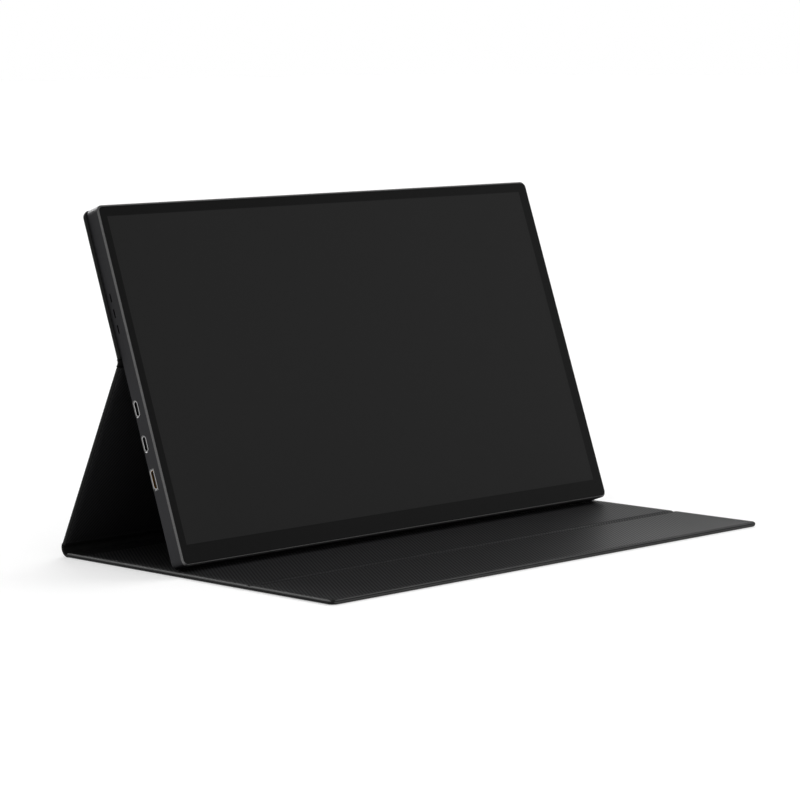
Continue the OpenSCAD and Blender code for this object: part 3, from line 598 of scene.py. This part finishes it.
def set_lamps():
    for name, toward, spread, level in SUNS:
        sun = hang_lamp(name, "SUN", Vector(toward) * SUN_AWAY, level)
        sun.data.angle = math.radians(spread)
        sun.visible_glossy = False
    for name, spot, size, watts in SOFTBOXES:
        softbox = hang_lamp(name, "AREA", spot, watts)
        softbox.data.shape = "DISK"
        softbox.data.size = size
        softbox.visible_diffuse = False


def lay_floor():
    """White paper that keeps the shadow, lifted to the background's white for the camera and in mirrors."""
    bm = bmesh.new()
    bmesh.ops.create_grid(bm, x_segments=1, y_segments=1, size=FLOOR_HALF)
    bmesh.ops.translate(bm, vec=(0, 0, -FLOOR_BELOW), verts=bm.verts)
    mesh = bpy.data.meshes.new("floor")
    bm.to_mesh(mesh)
    bm.free()
    floor = bpy.data.objects.new("floor", mesh)
    bpy.context.scene.collection.objects.link(floor)
    paper = Finish("floor_paper", Base_Color=shade(FLOOR_SHADE), Roughness=0.9, Specular_IOR_Level=0.1,
                   Emission_Color=(1, 1, 1, 1))
    looked_at = paper.ray("Camera").larger(paper.ray("Glossy")).larger(paper.ray("Transmission"))
    paper.paint(Emission_Strength=looked_at * FLOOR_LIFT)
    mesh.materials.append(paper.material)


bpy.context.scene.view_settings.view_transform = "Standard"
set_camera()
set_world()
set_lamps()
lay_floor()

# The cover

CREASE_START = BASE_LEN - CREASE_HALF
KICK_END = KICK_LEN - FOLD_HALF
base_skin = grained_skin("grained_skin_base", IN_BASE, PAINTED_HIGHLIGHT_PALE)
flap_skin = grained_skin("grained_skin_flap", IN_FLAP, PAINTED_HIGHLIGHT_PALE, FLAP_LEN)
kick_skin = grained_skin("grained_skin_kick", IN_KICK, PAINTED_HIGHLIGHT_FAINT)
upper_skin = grained_skin("grained_skin_upper", IN_UPPER, PAINTED_HIGHLIGHT_FAINT, UPPER_LEN)
flap_twill = twill_lining("twill_lining", IN_FLAP)
# The kick's lining is a copy of the same twill, painted paler as painted light
kick_twill = twill_lining("twill_lining_kick", IN_KICK, KICK_PAINTED_LIFT)
upper_twill = twill_lining("twill_lining_upper", IN_UPPER)

panel_cover("base_cover", IN_BASE, REAR_EASE, CREASE_START, False, SPINE_W, CREASE_START,
            base_skin, "base_skin", "base_panel")
panel_cover("flap_cover", IN_FLAP, CREASE_HALF, FLAP_LEN, True, CREASE_HALF, FLAP_LEN - LIP,
            flap_skin, "flap_skin", "front_panel")
panel_cover("kick_cover", IN_KICK, REAR_EASE, KICK_END + FOLD_LAP, False, LIP, KICK_END + FOLD_LAP,
            kick_skin, "kick_skin", "back_panel")
panel_cover("upper_cover", IN_UPPER, FOLD_HALF - FOLD_LAP, UPPER_LEN, True, FOLD_HALF, UPPER_LEN - LIP,
            upper_skin, "upper_skin", "monitor")
panel_lining("base_lining_sheet", IN_BASE, SPINE_W, CREASE_START, False,
             flap_twill, "base_lining", "base_panel", swell=HINGE_Y - SEAT_Y + FOOT_AHEAD)
panel_lining("flap_lining_sheet", IN_FLAP, CREASE_HALF, FLAP_LEN, True,
             flap_twill, "flap_lining", "front_panel")
panel_lining("kick_lining_sheet", IN_KICK, LIP, KICK_END, False,
             kick_twill, "kick_lining", "back_panel")
panel_lining("upper_lining_sheet", IN_UPPER, FOLD_HALF, UPPER_LEN, True,
             upper_twill, "upper_lining", "monitor")
crease_strip("crease_skin", COVER_W / 2, 0, ((COVER_T, TOP_R), (0, UNDER_R)), base_skin, "cover_skin")
crease_strip("crease_lining", COVER_W / 2 - LIP - GROOVE, SKIN_T, ((COVER_T, LINING_R),), flap_twill,
             "lining")
rear_fold(kick_skin)
back_fold(upper_skin)

# The rigid pieces keep their own shapes

FINISHES = [
    (anodised_housing(), ["rear_housing", "power_button", "menu_rocker"]),
    (coated_glass(), ["cover_glass"]),
    (plain_finish("foam_tape", shade(0.004), shade(0.007), 0.8), ["glass_tape"]),
    (plain_finish("cell_glass", shade(0.012), shade(0.016), 0.25), ["lcd_cell"]),
    (plain_finish("milky_film", shade(0.70), shade(0.76), 0.5), ["optical_films", "reflector_sheet"]),
    (plain_finish("clear_guide", (0.60, 0.70, 0.74, 1), (0.66, 0.76, 0.80, 1), 0.15), ["light_guide"]),
    (plain_finish("diodes", (0.85, 0.78, 0.45, 1), (0.90, 0.84, 0.55, 1), 0.4), ["led_bar"]),
    (plain_finish("pressed_sheet", shade(0.44), shade(0.52), 0.4, 1.0), ["panel_tray"]),
    (plain_finish("solder_mask", (0.010, 0.055, 0.028, 1), (0.014, 0.075, 0.038, 1), 0.35),
     ["panel_source_board", "main_board", "button_board"]),
    (plain_finish("amber_ribbon", (0.48, 0.28, 0.06, 1), (0.56, 0.34, 0.08, 1), 0.4),
     ["panel_flat_cable", "control_flat_cable"]),
    (plain_finish("black_moulding", shade(0.006), shade(0.010), 0.5),
     ["board_chips", "usb_c_tongues", "mini_hdmi_tongue", "speaker_left", "speaker_right", "headphone_jack"]),
    (plain_finish("plated_steel", shade(0.52), shade(0.62), 0.3, 1.0),
     ["shield_can", "board_screws", "tact_switches", "rocker_pin"]),
    # The steel sockets' dark inside is painted shade of their recess
    (socket_shell("socket_steel_painted_shade", shade(0.04), shade(0.06)), ["usb_c_socket_upper", "usb_c_socket_lower"]),
    (socket_shell("socket_gilt", (0.80, 0.50, 0.16, 1), (0.90, 0.62, 0.24, 1)), ["mini_hdmi_socket"]),
    (plain_finish("gilt", (0.70, 0.42, 0.12, 1), (0.80, 0.52, 0.18, 1), 0.3, 1.0), ["mini_hdmi_contacts"]),
    (plain_finish("magnet_nickel", shade(0.45), shade(0.52), 0.35, 1.0),
     ["housing_magnets", "upper_magnets", "kick_magnets", "base_magnets", "flap_magnets"]),
    (plain_finish("grey_board", (0.20, 0.18, 0.15, 1), (0.26, 0.24, 0.20, 1), 0.9, scale=900),
     ["upper_board", "kick_board", "base_board", "spine_board", "flap_board"]),
]
for material, nodes in FINISHES:
    for name in nodes:
        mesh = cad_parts[name].data
        mesh.materials.clear()
        mesh.materials.append(material)
